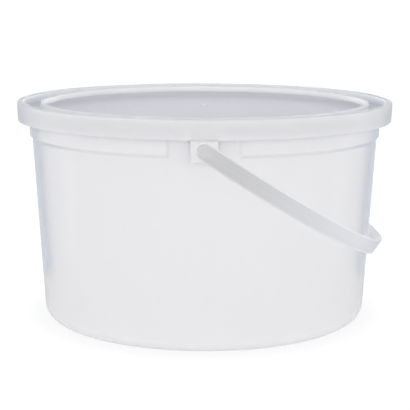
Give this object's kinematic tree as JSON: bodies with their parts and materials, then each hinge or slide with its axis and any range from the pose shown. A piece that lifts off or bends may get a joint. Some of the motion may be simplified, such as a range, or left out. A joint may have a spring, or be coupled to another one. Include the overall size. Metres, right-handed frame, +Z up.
{
  "type": "plastic fermenting bucket",
  "caption": "Wide shallow plastic pail with a press-on lid, a stacking collar, pierced ears and a flat strap handle that swings over the lid.",
  "frame": {"origin": "centre of the base, on the surface that the bucket stands on", "axes": "+Z up through the lid, +Y along the handle's pivot axis, +X towards the side where the handle hangs"},
  "size_m": [0.316, 0.3244, 0.1844],
  "materials": {
    "bucket_plastic": "natural milky translucent polypropylene, satin moulded",
    "lid_plastic": "natural milky translucent polypropylene, satin moulded",
    "handle_plastic": "opaque white polypropylene, satin moulded"
  },
  "bodies": {
    "bucket": {"bucket": "bucket_plastic"},
    "lid": {"lid": "lid_plastic"},
    "handle": {"handle": "handle_plastic"}
  },
  "joints": [
    {"name": "handle_swing", "type": "hinge", "parent": "bucket", "child": "handle", "pos_m": [0, 0, 0.1612], "axis": [0, -1, 0], "range_deg": [0, 247.8]},
    {"name": "lid_lift", "type": "slide", "parent": "bucket", "child": "lid", "axis": [0, 0, 1], "range_m": [0, 0.2]}
  ]
}
